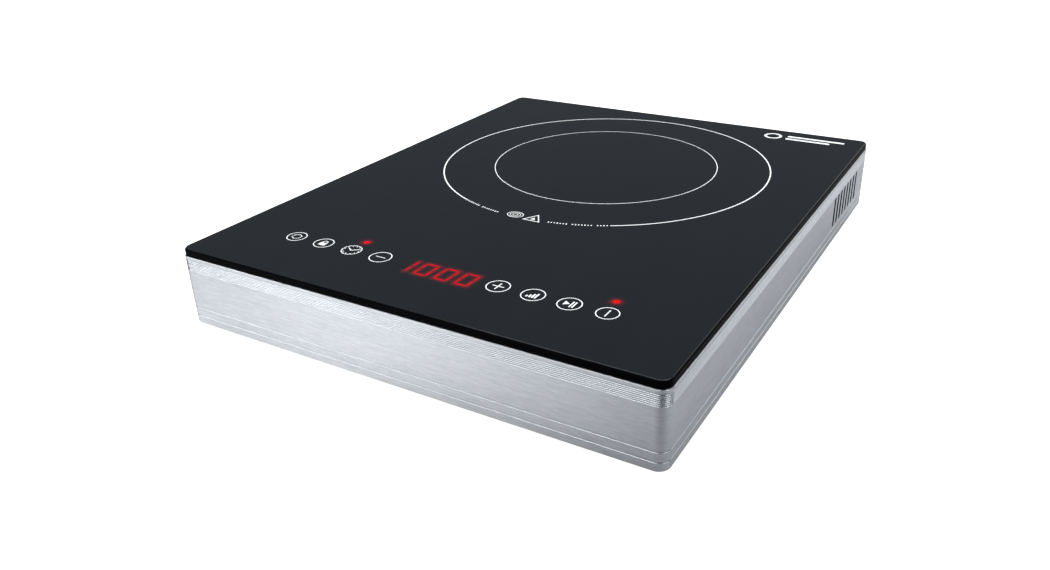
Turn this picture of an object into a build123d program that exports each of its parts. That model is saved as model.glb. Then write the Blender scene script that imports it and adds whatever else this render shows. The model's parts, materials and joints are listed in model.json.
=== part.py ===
from build123d import *
import os
from math import cos, pi, radians, sin

os.makedirs("parts", exist_ok=True)

# A portable induction hob with one cooking zone.  Millimetres, +Z up, +X to the user's right and +Y to
# the back.  The origin is under the middle of the housing, on the surface that the feet stand on.

# Housing
width = 290.0
depth = 360.0
corner_radius = 6.0
foot_drop = 9.0
band_height = 41.0
band_wall = 1.8
flange_width = 9.0
flange_thickness = 1.5
glass_thickness = 4.0
glass_inset = 0.5
tray_thickness = 2.0
tray_recess = 0.7
seal_thickness = 1.0
lip_height = 0.8

band_top = foot_drop + band_height
tray_bottom = foot_drop + tray_recess
floor = tray_bottom + tray_thickness
ledge_top = band_top - lip_height
glass_bottom = ledge_top + seal_thickness
glass_top_height = glass_bottom + glass_thickness
inner_width = width - 2 * band_wall
inner_depth = depth - 2 * band_wall
inner_corner = corner_radius - band_wall
flange_opening = (inner_width - 2 * flange_width, inner_depth - 2 * flange_width)

# V-grooves that run round the band, by height above its lower edge
reed_count = 7
reed_pitch = 0.95
reed_start = 33.1
groove_width = 0.7
groove_angle = 52
line_heights = (4.8, 10.0)

# Vent slots in both side walls
vent_count = 8
vent_pitch = 8.15
vent_slot = (20.4, 4.0)
vent_middle = (121.4, foot_drop + 21.9)

# Cooking zone and the coil under it
zone = (0.0, 52.4)
coil_turns = 21
litz_radius = 1.3
litz_pitch = 2.9
coil_start_radius = 24.0
carrier_radius = 92.0
carrier_bottom = 43.0
carrier_thickness = 3.0
carrier_top = carrier_bottom + carrier_thickness
litz_height = carrier_top + litz_radius + 0.1
ferrite = (52.0, 12.0, 5.0)
ferrite_count = 8
ferrite_radius = 56.0
ear_radius = 100.0
ear_angles = (90, 210, 330)
coil_post_top = 35.5
mica_bottom = 49.1
mica_thickness = 0.8

# Fan
fan = (-72.0, 96.0)
fan_size = 80.0
fan_bottom = 13.2
fan_height = 20.0
fan_bore_radius = 38.0
fan_hole_spacing = 71.5
hub_radius = 16.5
blade_count = 7
blade_tip_radius = 35.6
shaft_radius = 1.5
bearing_clearance = 0.05

# Boards
power_board_size = (126.0, 218.0)
power_board_middle = (71.0, 47.0)
power_board_bottom = 16.0
board_thickness = 1.6
board_top = power_board_bottom + board_thickness
control_middle = (-1.2, -137.0)
control_board_size = (224.0, 46.0)
control_board_bottom = 41.0
control_top = control_board_bottom + board_thickness

# Controls, as printed on the glass
key_pitch = 20.0
inner_keys = (-37.9, 36.3)
key_line = -137.7
display_middle = (-0.4, -139.0)
display_size = (50.4, 19.0)
light_places = ((-57.3, -125.9), (94.8, -125.4))

# Screws: shank radius, head radius, head height
m3 = (1.45, 2.75, 2.0)
m4 = (1.95, 3.6, 2.4)
hole_gap = 0.15


def places_at(centre, radius, angles):
    """Points round a circle, at the given angles in degrees."""
    return [(centre[0] + radius * cos(radians(a)), centre[1] + radius * sin(radians(a))) for a in angles]


def four_corners(centre, spacing_x, spacing_y):
    """The corners of an upright rectangle about a centre."""
    return [
        (centre[0] + sx * spacing_x / 2, centre[1] + sy * spacing_y / 2) for sx in (-1, 1) for sy in (-1, 1)
    ]


def posts(places, low, high, radius, mode=Mode.ADD):
    """Upright round posts, or holes, in the part that is being built."""
    with BuildSketch(Plane.XY.offset(low)) as ends:
        with Locations(*places):
            Circle(radius)
    extrude(ends.sketch, amount=high - low, mode=mode)


def slab(low, high, size, centre=(0.0, 0.0), corner=0.5, mode=Mode.ADD):
    """A flat block with rounded upright edges."""
    with BuildSketch(Plane.XY.offset(low)) as outline:
        with Locations(centre):
            RectangleRounded(size[0], size[1], corner)
    extrude(outline.sketch, amount=high - low, mode=mode)


def frame_slab(low, high, outer, inner, corner, inner_radius, centre=(0.0, 0.0)):
    """A flat rectangular frame with rounded corners."""
    with BuildSketch(Plane.XY.offset(low)) as outline:
        with Locations(centre):
            RectangleRounded(outer[0], outer[1], corner)
            RectangleRounded(inner[0], inner[1], inner_radius, mode=Mode.SUBTRACT)
    extrude(outline.sketch, amount=high - low)


def cross_recess(places, height, span, slot, deep):
    """A cross-shaped driver recess in a screw head; a negative depth cuts upward."""
    with BuildSketch(Plane.XY.offset(height)) as cross:
        with Locations(*places):
            Rectangle(span, slot)
            Rectangle(slot, span)
    extrude(cross.sketch, amount=-deep, mode=Mode.SUBTRACT)


def pan_screws(places, seat, tip, size):
    """Upright screws: shank from the tip up to the seat, with a pan head above it."""
    posts(places, tip, seat, size[0])
    posts(places, seat, seat + size[2], size[1])
    cross_recess(places, seat + size[2], 1.3 * size[1], 0.7, 0.9)


def flat_screws_from_below(places, seat, tip, size):
    """Countersunk screws driven up from below, their heads flush with the seat height."""
    cone = size[1] - size[0]
    with BuildSketch(Plane.XY.offset(seat)) as heads:
        with Locations(*places):
            Circle(size[1])
    extrude(heads.sketch, amount=cone, taper=45)
    posts(places, seat + cone - 0.01, tip, size[0])
    cross_recess(places, seat, 1.2 * size[1], 0.7, -0.9)


def countersinks(places, seat, size):
    """Cone-shaped seats for countersunk heads, opening downward."""
    with BuildSketch(Plane.XY.offset(seat)) as mouths:
        with Locations(*places):
            Circle(size[1] + hole_gap)
    extrude(mouths.sketch, amount=size[1] - size[0], taper=45, mode=Mode.SUBTRACT)


# Places shared by several pieces
foot_boss = 3.8
foot_places = four_corners((0, 0), 2 * 114, 2 * 149)
flange_line = (width / 2 - band_wall - flange_width / 2, depth / 2 - band_wall - flange_width / 2)
base_screw_places = [(sx * flange_line[0], y) for sx in (-1, 1) for y in (-125, 0, 125)]
base_screw_places += [(x, sy * flange_line[1]) for x in (-62, 62) for sy in (-1, 1)]
ear_places = places_at(zone, ear_radius, ear_angles)
board_places = four_corners(power_board_middle, power_board_size[0] - 10, power_board_size[1] - 10)
fan_places = four_corners(fan, fan_hole_spacing, fan_hole_spacing)
control_places = four_corners(control_middle, control_board_size[0] - 12, control_board_size[1] - 10)
gland_place = (-100.0, foot_drop + 17.0)
clamp_places = [(gland_place[0] + side * 11.5, 150.0) for side in (-1, 1)]
key_places = [(inner_keys[0] - key_pitch * n, key_line) for n in (3, 2, 1, 0)]
key_places += [(inner_keys[1] + key_pitch * n, key_line) for n in (0, 1, 2, 3)]
rivet_places = [(sx * 12, band_top - band_height / 2 + sz * 9) for sx in (-1, 1) for sz in (-1, 1)]
earth_place = (36.0, flange_line[1])
heatsink_middle = (95.0, 118.0)
device_places = ((80.0, 118.0), (110.0, 118.0))

# ---------------------------------------------------------------- Glass and housing

with BuildPart() as glass_top:
    slab(
        glass_bottom,
        glass_top_height,
        (width - 2 * glass_inset, depth - 2 * glass_inset),
        corner=corner_radius - glass_inset,
    )
    chamfer(glass_top.faces().sort_by(Axis.Z)[-1].edges(), 0.8)
    chamfer(glass_top.faces().sort_by(Axis.Z)[0].edges(), 0.3)
glass_top.part.label = "glass_top"
export_step(glass_top.part, "parts/glass_top.step")

with BuildPart() as glass_seal:
    seal_gap = 0.2
    frame_slab(
        ledge_top,
        glass_bottom,
        (inner_width - 2 * seal_gap, inner_depth - 2 * seal_gap),
        (inner_width - 14, inner_depth - 14),
        inner_corner - seal_gap,
        3.0,
    )
glass_seal.part.label = "glass_seal"
export_step(glass_seal.part, "parts/glass_seal.step")

# What a V-groove takes away all round the band, with its middle at the zero height
with BuildPart() as groove_ring:
    slab(-groove_width / 2, groove_width / 2, (width + 2, depth + 2), corner=corner_radius + 1)
    for edge in (-1, 1):
        with BuildSketch(Plane.XY.offset(edge * groove_width / 2)):
            RectangleRounded(width, depth, corner_radius)
        extrude(amount=-edge * groove_width / 2, taper=groove_angle, mode=Mode.SUBTRACT)

# The band is one extrusion bent round the four sides, with an inward flange near each edge.  Its ends
# meet at a seam in the middle of the back.
with BuildPart() as side_band:
    frame_slab(
        foot_drop, band_top, (width, depth), (inner_width, inner_depth), corner_radius, inner_corner
    )
    chamfer(side_band.faces().sort_by(Axis.Z)[-1].outer_wire().edges(), 0.3)
    chamfer(side_band.faces().sort_by(Axis.Z)[0].outer_wire().edges(), 0.3)
    for flange_bottom in (floor, ledge_top - flange_thickness):
        frame_slab(
            flange_bottom,
            flange_bottom + flange_thickness,
            (inner_width + band_wall, inner_depth + band_wall),
            flange_opening,
            inner_corner + band_wall / 2,
            2.0,
        )
    groove_heights = [reed_start + reed_pitch * n for n in range(reed_count)] + list(line_heights)
    for groove in groove_heights:
        with Locations((0, 0, foot_drop + groove)):
            add(groove_ring.part, mode=Mode.SUBTRACT)
    with BuildSketch(Plane.YZ.offset(-width)):
        with Locations(vent_middle):
            with GridLocations(vent_pitch, 1, vent_count, 1):
                SlotOverall(vent_slot[0], vent_slot[1], rotation=90)
    extrude(amount=2 * width, mode=Mode.SUBTRACT)
    # Rear wall: cord hole, rivet holes and the seam
    with BuildSketch(Plane.XZ.offset(-depth)):
        with Locations(gland_place):
            Circle(8.1)
        with Locations(*rivet_places):
            Circle(1.6)
        with Locations((0, foot_drop + band_height / 2)):
            Rectangle(0.3, band_height + 2)
    extrude(amount=depth / 2 + 12, mode=Mode.SUBTRACT)
    with BuildSketch(Plane.XZ.offset(-depth / 2)):
        with Locations(*rivet_places):
            Circle(2.7)
    extrude(amount=1.1, taper=45, mode=Mode.SUBTRACT)
    posts(base_screw_places, floor - 1, floor + 5, m3[0] + hole_gap, Mode.SUBTRACT)
    posts([earth_place], floor - 1, floor + 5, m4[0] + hole_gap, Mode.SUBTRACT)
side_band.part.label = "side_band"
export_step(side_band.part, "parts/side_band.step")

with BuildPart() as band_joint_plate:
    with BuildSketch(Plane.XZ.offset(-inner_depth / 2)):
        with Locations((0, band_top - band_height / 2)):
            RectangleRounded(40, 30, 2)
        with Locations(*rivet_places):
            Circle(1.6, mode=Mode.SUBTRACT)
    extrude(amount=1.5)
band_joint_plate.part.label = "band_joint_plate"
export_step(band_joint_plate.part, "parts/band_joint_plate.step")

with BuildPart() as band_rivets:
    with BuildSketch(Plane.XZ.offset(-depth / 2)):
        with Locations(*rivet_places):
            Circle(2.5)
    extrude(amount=1.0, taper=45)
    with BuildSketch(Plane.XZ.offset(-depth / 2 + 0.9)):
        with Locations(*rivet_places):
            Circle(1.5)
    extrude(amount=band_wall + 1.5 - 0.9)
    with BuildSketch(Plane.XZ.offset(-inner_depth / 2 + 1.5)):
        with Locations(*rivet_places):
            Circle(2.4)
    extrude(amount=1.4)
band_rivets.part.label = "band_rivets"
export_step(band_rivets.part, "parts/band_rivets.step")

# The tray carries everything inside.  It sits in the band's lower rim, against the lower flange.
with BuildPart() as base_tray:
    slab(tray_bottom, floor, (inner_width - 0.6, inner_depth - 0.6), corner=inner_corner - 0.3)
    # Stiffening rim just inside the flange
    frame_slab(
        floor,
        floor + 4,
        (flange_opening[0] - 1, flange_opening[1] - 1),
        (flange_opening[0] - 4, flange_opening[1] - 4),
        2.0,
        1.0,
    )
    posts(ear_places, floor, coil_post_top, 4.5)
    posts(board_places, floor, power_board_bottom, 3.5)
    posts(fan_places, floor, fan_bottom, 4.0)
    posts(control_places, floor, 36.0, 4.0)
    posts(clamp_places, floor, gland_place[1] + 4.2, 4.0)
    posts(foot_places, floor, floor + foot_boss, 5.0)
    # Blind holes for the screws that come from above
    posts(ear_places, 20, coil_post_top, m4[0] + hole_gap, Mode.SUBTRACT)
    posts(board_places + clamp_places, tray_bottom + 0.6, 60, m3[0] + hole_gap, Mode.SUBTRACT)
    posts(fan_places, tray_bottom + 0.6, 20, m3[0] + hole_gap, Mode.SUBTRACT)
    posts(control_places, 25, 40, m3[0] + hole_gap, Mode.SUBTRACT)
    # Screw holes from below
    posts(foot_places, 0, floor + foot_boss - 0.4, m4[0] + hole_gap, Mode.SUBTRACT)
    posts(base_screw_places, 0, floor + 1, m3[0] + hole_gap, Mode.SUBTRACT)
    countersinks(base_screw_places, tray_bottom, m3)
    posts([earth_place], floor - 1.2, floor + 1, 3.2, Mode.SUBTRACT)
    # Air inlet: ring slots under the fan, and straight slots under the power board
    with BuildSketch(Plane.XY.offset(tray_bottom - 1)):
        with Locations(fan):
            for ring in range(5):
                Circle(37 - 6.5 * ring)
                Circle(33.8 - 6.5 * ring, mode=Mode.SUBTRACT)
            with PolarLocations(0, 4, angular_range=180):
                Rectangle(80, 3.2, mode=Mode.SUBTRACT)
    extrude(amount=tray_thickness + 2, mode=Mode.SUBTRACT)
    with BuildSketch(Plane.XY.offset(tray_bottom - 1)):
        with Locations((72, -31)):
            with GridLocations(1, 7, 1, 8):
                SlotOverall(54, 3.2)
    extrude(amount=tray_thickness + 2, mode=Mode.SUBTRACT)
    # Shallow seat for the rating label
    slab(tray_bottom - 1, tray_bottom + 0.4, (70, 42), (-52, -60), 2.0, Mode.SUBTRACT)
base_tray.part.label = "base_tray"
export_step(base_tray.part, "parts/base_tray.step")

foot_screw_seat = 4.0
for number, place in enumerate(foot_places, 1):
    with BuildPart() as rubber_foot:
        posts([place], 0, tray_bottom, 11.0)
        fillet(rubber_foot.faces().sort_by(Axis.Z)[0].edges(), 1.2)
        posts([place], 0, foot_screw_seat, 5.0, Mode.SUBTRACT)
        posts([place], 0, tray_bottom, m4[0] + hole_gap, Mode.SUBTRACT)
    rubber_foot.part.label = f"rubber_foot_{number}"
    export_step(rubber_foot.part, f"parts/rubber_foot_{number}.step")

with BuildPart() as foot_screws:
    posts(foot_places, foot_screw_seat - m4[2], foot_screw_seat, m4[1])
    posts(foot_places, foot_screw_seat, floor + foot_boss - 0.6, m4[0])
    cross_recess(foot_places, foot_screw_seat - m4[2], 4.4, 0.8, -1.0)
foot_screws.part.label = "foot_screws"
export_step(foot_screws.part, "parts/foot_screws.step")

with BuildPart() as base_screws:
    flat_screws_from_below(base_screw_places, tray_bottom, floor + 5, m3)
base_screws.part.label = "base_screws"
export_step(base_screws.part, "parts/base_screws.step")

with BuildPart() as rating_label:
    slab(tray_bottom + 0.15, tray_bottom + 0.4, (69, 41), (-52, -60), 1.8)
rating_label.part.label = "rating_label"
export_step(rating_label.part, "parts/rating_label.step")

# ---------------------------------------------------------------- Cord entry

gland_reach = 14.0
gland_flange = 2.5
with BuildPart() as cable_gland:
    with BuildSketch(Plane.XZ.offset(-depth / 2 - gland_flange)):
        with Locations(gland_place):
            Circle(10.5)
    extrude(amount=gland_flange)
    fillet(cable_gland.faces().sort_by(Axis.Y)[-1].edges(), 1.2)
    with BuildSketch(Plane.XZ.offset(-depth / 2)):
        with Locations(gland_place):
            Circle(8.0)
    extrude(amount=gland_reach)
    # Snap shoulders behind the wall
    with BuildSketch(Plane.XZ.offset(-inner_depth / 2 + 0.1)):
        with Locations(gland_place):
            Circle(9.0)
            Rectangle(20, 8, mode=Mode.SUBTRACT)
    extrude(amount=2.5)
    with BuildSketch(Plane.XZ.offset(-depth / 2 - gland_flange)):
        with Locations(gland_place):
            Circle(4.1)
    extrude(amount=gland_reach + gland_flange, mode=Mode.SUBTRACT)
cable_gland.part.label = "cable_gland"
export_step(cable_gland.part, "parts/cable_gland.step")

with BuildPart() as cord_clamp:
    clamp_bottom = gland_place[1] + 4.2
    slab(clamp_bottom, clamp_bottom + 4, (32, 9), (gland_place[0], clamp_places[0][1]), 2.0)
    posts(clamp_places, clamp_bottom, clamp_bottom + 4, m3[0] + hole_gap, Mode.SUBTRACT)
cord_clamp.part.label = "cord_clamp"
export_step(cord_clamp.part, "parts/cord_clamp.step")

terminal_middle = (-48.0, 158.0)
with BuildPart() as terminal_block:
    slab(floor, floor + 3, (34, 16), terminal_middle, 1.0)
    slab(floor, floor + 13, (34, 9), terminal_middle, 1.0)
    with BuildSketch(Plane.XZ.offset(-terminal_middle[1] - 5)):
        with Locations((terminal_middle[0], floor + 8)):
            with GridLocations(10.5, 1, 3, 1):
                RectangleRounded(6.5, 5, 0.8)
    extrude(amount=10, mode=Mode.SUBTRACT)
    posts(
        [(terminal_middle[0] + 10.5 * n, terminal_middle[1]) for n in (-1, 0, 1)],
        floor + 10,
        floor + 14,
        2.2,
        Mode.SUBTRACT,
    )
terminal_block.part.label = "terminal_block"
export_step(terminal_block.part, "parts/terminal_block.step")

with BuildPart() as earth_screw:
    pan_screws([earth_place], floor + flange_thickness, floor - 0.6, m4)
earth_screw.part.label = "earth_screw"
export_step(earth_screw.part, "parts/earth_screw.step")

# ---------------------------------------------------------------- Coil unit

with BuildPart() as coil_carrier:
    posts([zone], carrier_bottom, carrier_top, carrier_radius)
    with BuildSketch(Plane.XY.offset(carrier_bottom)):
        for angle in ear_angles:
            with Locations(*places_at(zone, ear_radius - 7, [angle])):
                SlotOverall(30, 16, rotation=angle)
    extrude(amount=carrier_thickness)
    # Walls that hold the ferrite bars, below the disc
    with BuildSketch(Plane.XY.offset(carrier_bottom - ferrite[2] + 1)):
        with Locations(zone):
            with PolarLocations(ferrite_radius, ferrite_count):
                RectangleRounded(ferrite[0] + 3.4, ferrite[1] + 3.4, 1.0)
            with PolarLocations(ferrite_radius, ferrite_count):
                Rectangle(ferrite[0] + 0.6, ferrite[1] + 0.6, mode=Mode.SUBTRACT)
    extrude(amount=ferrite[2] - 1)
    # Windows between the bars let cooling air reach the winding
    with BuildSketch(Plane.XY.offset(carrier_bottom)):
        with Locations(zone):
            with PolarLocations(62, ferrite_count, start_angle=180 / ferrite_count):
                SlotOverall(38, 11)
    extrude(amount=carrier_thickness, mode=Mode.SUBTRACT)
    posts([zone], carrier_bottom - 1, carrier_top + 1, 10.2, Mode.SUBTRACT)
    posts(ear_places, carrier_bottom - 1, carrier_top + 1, m4[0] + 0.4, Mode.SUBTRACT)
coil_carrier.part.label = "coil_carrier"
export_step(coil_carrier.part, "parts/coil_carrier.step")

# The winding is a flat spiral of half circles, each half a pitch larger than the one before.
with BuildPart() as induction_coil:
    with BuildLine(Plane.XY.offset(litz_height)) as winding_line:
        for half in range(2 * coil_turns):
            middle = zone[0] + (half % 2) * litz_pitch / 2
            CenterArc((middle, zone[1]), coil_start_radius + half * litz_pitch / 2, 180 * (half % 2), 180)
    start = Plane(
        origin=(zone[0] + coil_start_radius, zone[1], litz_height), x_dir=(1, 0, 0), z_dir=(0, 1, 0)
    )
    with BuildSketch(start):
        Circle(litz_radius)
    sweep()
induction_coil.part.label = "induction_coil"
export_step(induction_coil.part, "parts/induction_coil.step")

with BuildPart() as ferrite_bars:
    with BuildSketch(Plane.XY.offset(carrier_bottom - ferrite[2])):
        with Locations(zone):
            with PolarLocations(ferrite_radius, ferrite_count):
                RectangleRounded(ferrite[0], ferrite[1], 0.8)
    extrude(amount=ferrite[2])
ferrite_bars.part.label = "ferrite_bars"
export_step(ferrite_bars.part, "parts/ferrite_bars.step")

with BuildPart() as mica_sheet:
    posts([zone], mica_bottom, mica_bottom + mica_thickness, carrier_radius)
    posts([zone], mica_bottom, mica_bottom + mica_thickness, 8.0, Mode.SUBTRACT)
mica_sheet.part.label = "mica_sheet"
export_step(mica_sheet.part, "parts/mica_sheet.step")

with BuildPart() as sensor_holder:
    posts([zone], 39, carrier_top + 1.2, 10.0)
    posts([zone], carrier_top, carrier_top + 1.2, 13.0)
    posts([zone], 40.5, carrier_top + 2, 7.4, Mode.SUBTRACT)
    posts([zone], 38, 41, 2.0, Mode.SUBTRACT)
sensor_holder.part.label = "sensor_holder"
export_step(sensor_holder.part, "parts/sensor_holder.step")

with BuildPart() as temperature_sensor:
    posts([zone], 46.0, 50.1, 6.8)
    fillet(temperature_sensor.faces().sort_by(Axis.Z)[-1].edges(), 0.8)
    posts([zone], 45.0, 46.0, 2.0)
temperature_sensor.part.label = "temperature_sensor"
export_step(temperature_sensor.part, "parts/temperature_sensor.step")


def coil_spring(centre, low, high, mean_radius, wire_radius, turns):
    """A round-wire spring standing between two heights."""
    rise = high - low - 2 * wire_radius
    foot = (centre[0], centre[1], low + wire_radius)
    with BuildLine() as wire:
        Helix(rise / turns, rise, mean_radius, center=foot)
    with BuildSketch(Plane(origin=wire.line @ 0, z_dir=wire.line % 0)) as section:
        Circle(wire_radius)
    sweep(section.sketch, path=wire.line, is_frenet=True)


with BuildPart() as sensor_spring:
    coil_spring(zone, 40.6, 45.9, 5.2, 0.35, 4)
sensor_spring.part.label = "sensor_spring"
export_step(sensor_spring.part, "parts/sensor_spring.step")

for number, place in enumerate(ear_places, 1):
    with BuildPart() as ear_spring:
        coil_spring(place, coil_post_top + 0.1, carrier_bottom - 0.1, 3.6, 0.45, 4)
    ear_spring.part.label = f"coil_spring_{number}"
    export_step(ear_spring.part, f"parts/coil_spring_{number}.step")

with BuildPart() as coil_screws:
    pan_screws(ear_places, carrier_top, 22, m4)
coil_screws.part.label = "coil_screws"
export_step(coil_screws.part, "parts/coil_screws.step")

# ---------------------------------------------------------------- Power unit

with BuildPart() as power_board:
    slab(power_board_bottom, board_top, power_board_size, power_board_middle, 2.0)
    posts(board_places, power_board_bottom - 1, board_top + 1, m3[0] + 0.3, Mode.SUBTRACT)
    posts([ear_places[2]], power_board_bottom - 1, board_top + 1, 7.0, Mode.SUBTRACT)
power_board.part.label = "power_board"
export_step(power_board.part, "parts/power_board.step")

# The same pan-head screw holds the power board and the cord clamp.
with BuildPart() as board_screws:
    pan_screws(board_places, board_top, tray_bottom + 1.2, m3)
    pan_screws(clamp_places, gland_place[1] + 8.2, gland_place[1] - 4, m3)
board_screws.part.label = "board_screws"
export_step(board_screws.part, "parts/board_screws.step")

heatsink_base = 22.6
heatsink_top = 36.5
heatsink_size = (66.0, 56.0)
fin_pitch = 7.0
with BuildPart() as heatsink:
    slab(heatsink_base, heatsink_base + 4, heatsink_size, heatsink_middle, 0.8)
    with BuildSketch(Plane.XY.offset(heatsink_base + 3.9)):
        with Locations(heatsink_middle):
            with GridLocations(1, fin_pitch, 1, 8):
                Rectangle(heatsink_size[0], 1.4)
    extrude(amount=heatsink_top - heatsink_base - 3.9)
    posts(four_corners(heatsink_middle, 58, 48), board_top, heatsink_base, 2.5)
    posts(device_places, heatsink_base - 1, heatsink_base + 5, m3[0] + hole_gap, Mode.SUBTRACT)
heatsink.part.label = "heatsink"
export_step(heatsink.part, "parts/heatsink.step")

with BuildPart() as igbt:
    slab(board_top + 0.2, heatsink_base, (16, 21), device_places[0], 0.6)
    posts(device_places[:1], board_top, heatsink_base + 1, 1.8, Mode.SUBTRACT)
igbt.part.label = "igbt"
export_step(igbt.part, "parts/igbt.step")

with BuildPart() as bridge_rectifier:
    slab(board_top + 0.2, heatsink_base, (30, 20), device_places[1], 1.5)
    posts(device_places[1:], board_top, heatsink_base + 1, 1.8, Mode.SUBTRACT)
bridge_rectifier.part.label = "bridge_rectifier"
export_step(bridge_rectifier.part, "parts/bridge_rectifier.step")

with BuildPart() as heatsink_screws:
    pan_screws(device_places, heatsink_base + 4, board_top + 0.4, (m3[0], 2.5, m3[2]))
heatsink_screws.part.label = "heatsink_screws"
export_step(heatsink_screws.part, "parts/heatsink_screws.step")

# Film capacitors: name, size, middle, height
film_capacitors = (
    ("resonant_capacitor", (42.0, 18.0), (36.0, 126.0), 18.5),
    ("filter_capacitor", (42.0, 22.0), (36.0, 100.0), 18.5),
    ("mains_capacitor", (32.0, 16.0), (44.0, -33.0), 18.5),
)
for name, size, middle, height in film_capacitors:
    with BuildPart() as film_capacitor:
        slab(board_top, board_top + height, size, middle, 1.0)
        fillet(film_capacitor.faces().sort_by(Axis.Z)[-1].edges(), 0.6)
    film_capacitor.part.label = name
    export_step(film_capacitor.part, f"parts/{name}.step")

supply_places = ((96.0, 62.0), (113.0, 62.0))
with BuildPart() as supply_capacitors:
    posts(supply_places, board_top, board_top + 18, 6.3)
    fillet(supply_capacitors.faces().group_by(Axis.Z)[-1].edges(), 0.7)
supply_capacitors.part.label = "supply_capacitors"
export_step(supply_capacitors.part, "parts/supply_capacitors.step")

choke_middle = (102.0, -32.0)
core_radii = (18.0, 10.0)
core_height = 12.0
core_bottom = board_top + 1.6
with BuildPart() as choke_core:
    posts([choke_middle], core_bottom, core_bottom + core_height, core_radii[0])
    posts([choke_middle], core_bottom, core_bottom + core_height, core_radii[1], Mode.SUBTRACT)
    for face in (choke_core.faces().sort_by(Axis.Z)[0], choke_core.faces().sort_by(Axis.Z)[-1]):
        chamfer(face.edges(), 0.6)
choke_core.part.label = "choke_core"
export_step(choke_core.part, "parts/choke_core.step")

# Two windings of square-cornered turns stand on opposite sides of the core.
turn_thickness = 1.2
turn_opening = (core_radii[0] - core_radii[1] + 0.4, core_height + 0.4)
turn_size = (turn_opening[0] + 2 * turn_thickness, turn_opening[1] + 2 * turn_thickness)
with BuildPart() as choke_winding:
    for side in (0, 180):
        for turn in range(9):
            heading = radians(side + 13 * (turn - 4))
            reach = sum(core_radii) / 2
            turn_plane = Plane(
                origin=(
                    choke_middle[0] + reach * cos(heading),
                    choke_middle[1] + reach * sin(heading),
                    core_bottom + core_height / 2,
                ),
                x_dir=(cos(heading), sin(heading), 0),
                z_dir=(sin(heading), -cos(heading), 0),
            )
            with BuildSketch(turn_plane):
                RectangleRounded(turn_size[0], turn_size[1], 1.4)
                Rectangle(turn_opening[0], turn_opening[1], mode=Mode.SUBTRACT)
            extrude(amount=turn_thickness / 2, both=True)
choke_winding.part.label = "choke_winding"
export_step(choke_winding.part, "parts/choke_winding.step")

transformer_middle = (112.0, 34.0)
with BuildPart() as supply_transformer:
    slab(board_top, board_top + 3, (20, 20), transformer_middle, 0.8)
    slab(board_top + 3, board_top + 17, (20, 7), transformer_middle, 0.5)
    slab(board_top + 3, board_top + 15, (14, 15), transformer_middle, 3.0)
supply_transformer.part.label = "supply_transformer"
export_step(supply_transformer.part, "parts/supply_transformer.step")

fuse_middle = (60.0, -54.0)
with BuildPart() as fuse:
    fuse_axis = Plane.YZ.offset(fuse_middle[0])
    with BuildSketch(fuse_axis):
        with Locations((fuse_middle[1], board_top + 4.6)):
            Circle(2.7)
    extrude(amount=15.5, both=True)
    for end in (-1, 1):
        with BuildSketch(fuse_axis.offset(end * 13)):
            with Locations((fuse_middle[1], board_top + 4.6)):
                Circle(3.1)
        extrude(amount=2.6, both=True)
        slab(board_top, board_top + 3, (3, 6), (fuse_middle[0] + end * 13, fuse_middle[1]), 0.3)
fuse.part.label = "fuse"
export_step(fuse.part, "parts/fuse.step")

buzzer_place = (28.0, 4.0)
with BuildPart() as buzzer:
    posts([buzzer_place], board_top, board_top + 9, 6.0)
    fillet(buzzer.faces().sort_by(Axis.Z)[-1].edges(), 0.6)
    posts([buzzer_place], board_top + 7.5, board_top + 10, 1.2, Mode.SUBTRACT)
buzzer.part.label = "buzzer"
export_step(buzzer.part, "parts/buzzer.step")

terminal_places = ((22.0, 74.0), (40.0, 74.0))
with BuildPart() as coil_terminals:
    posts(terminal_places, board_top, board_top + 9, 4.0)
    pan_screws(terminal_places, board_top + 9, board_top + 8, m4)
coil_terminals.part.label = "coil_terminals"
export_step(coil_terminals.part, "parts/coil_terminals.step")

# ---------------------------------------------------------------- Fan

fan_top = fan_bottom + fan_height
motor_bottom = fan_bottom + 2.0
bearing_top = fan_bottom + 12.5
with BuildPart() as fan_frame:
    slab(fan_bottom, fan_top, (fan_size, fan_size), fan, 5.0)
    posts([fan], fan_bottom, fan_top, fan_bore_radius, Mode.SUBTRACT)
    # Recesses between the corner lugs
    with BuildSketch(Plane.XY.offset(fan_bottom + 3)):
        with Locations(fan):
            Rectangle(fan_size + 2, fan_size + 2)
            Circle(fan_bore_radius + 1.6, mode=Mode.SUBTRACT)
            with PolarLocations(fan_hole_spacing / 2 * 2**0.5, 4, start_angle=45):
                Circle(6, mode=Mode.SUBTRACT)
    extrude(amount=fan_height - 6, mode=Mode.SUBTRACT)
    posts([fan], fan_bottom, motor_bottom, 17.0)
    with BuildSketch(Plane.XY.offset(fan_bottom)):
        with Locations(fan):
            with PolarLocations(27, 4, start_angle=20):
                Rectangle(24, 4)
    extrude(amount=2)
    posts([fan], motor_bottom, bearing_top, 4.0)
    posts([fan], fan_bottom + 1, bearing_top, shaft_radius + bearing_clearance, Mode.SUBTRACT)
    posts(fan_places, fan_bottom - 1, fan_top + 1, m3[0] + 0.3, Mode.SUBTRACT)
fan_frame.part.label = "fan_frame"
export_step(fan_frame.part, "parts/fan_frame.step")

with BuildPart() as fan_stator:
    with BuildSketch(Plane.XY.offset(motor_bottom + 2)):
        with Locations(fan):
            Circle(7.5)
            Rectangle(22, 6)
            Rectangle(6, 22)
            with PolarLocations(11.2, 4):
                Rectangle(2.4, 11)
            Circle(4.1, mode=Mode.SUBTRACT)
    extrude(amount=7)
fan_stator.part.label = "fan_stator"
export_step(fan_stator.part, "parts/fan_stator.step")

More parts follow.
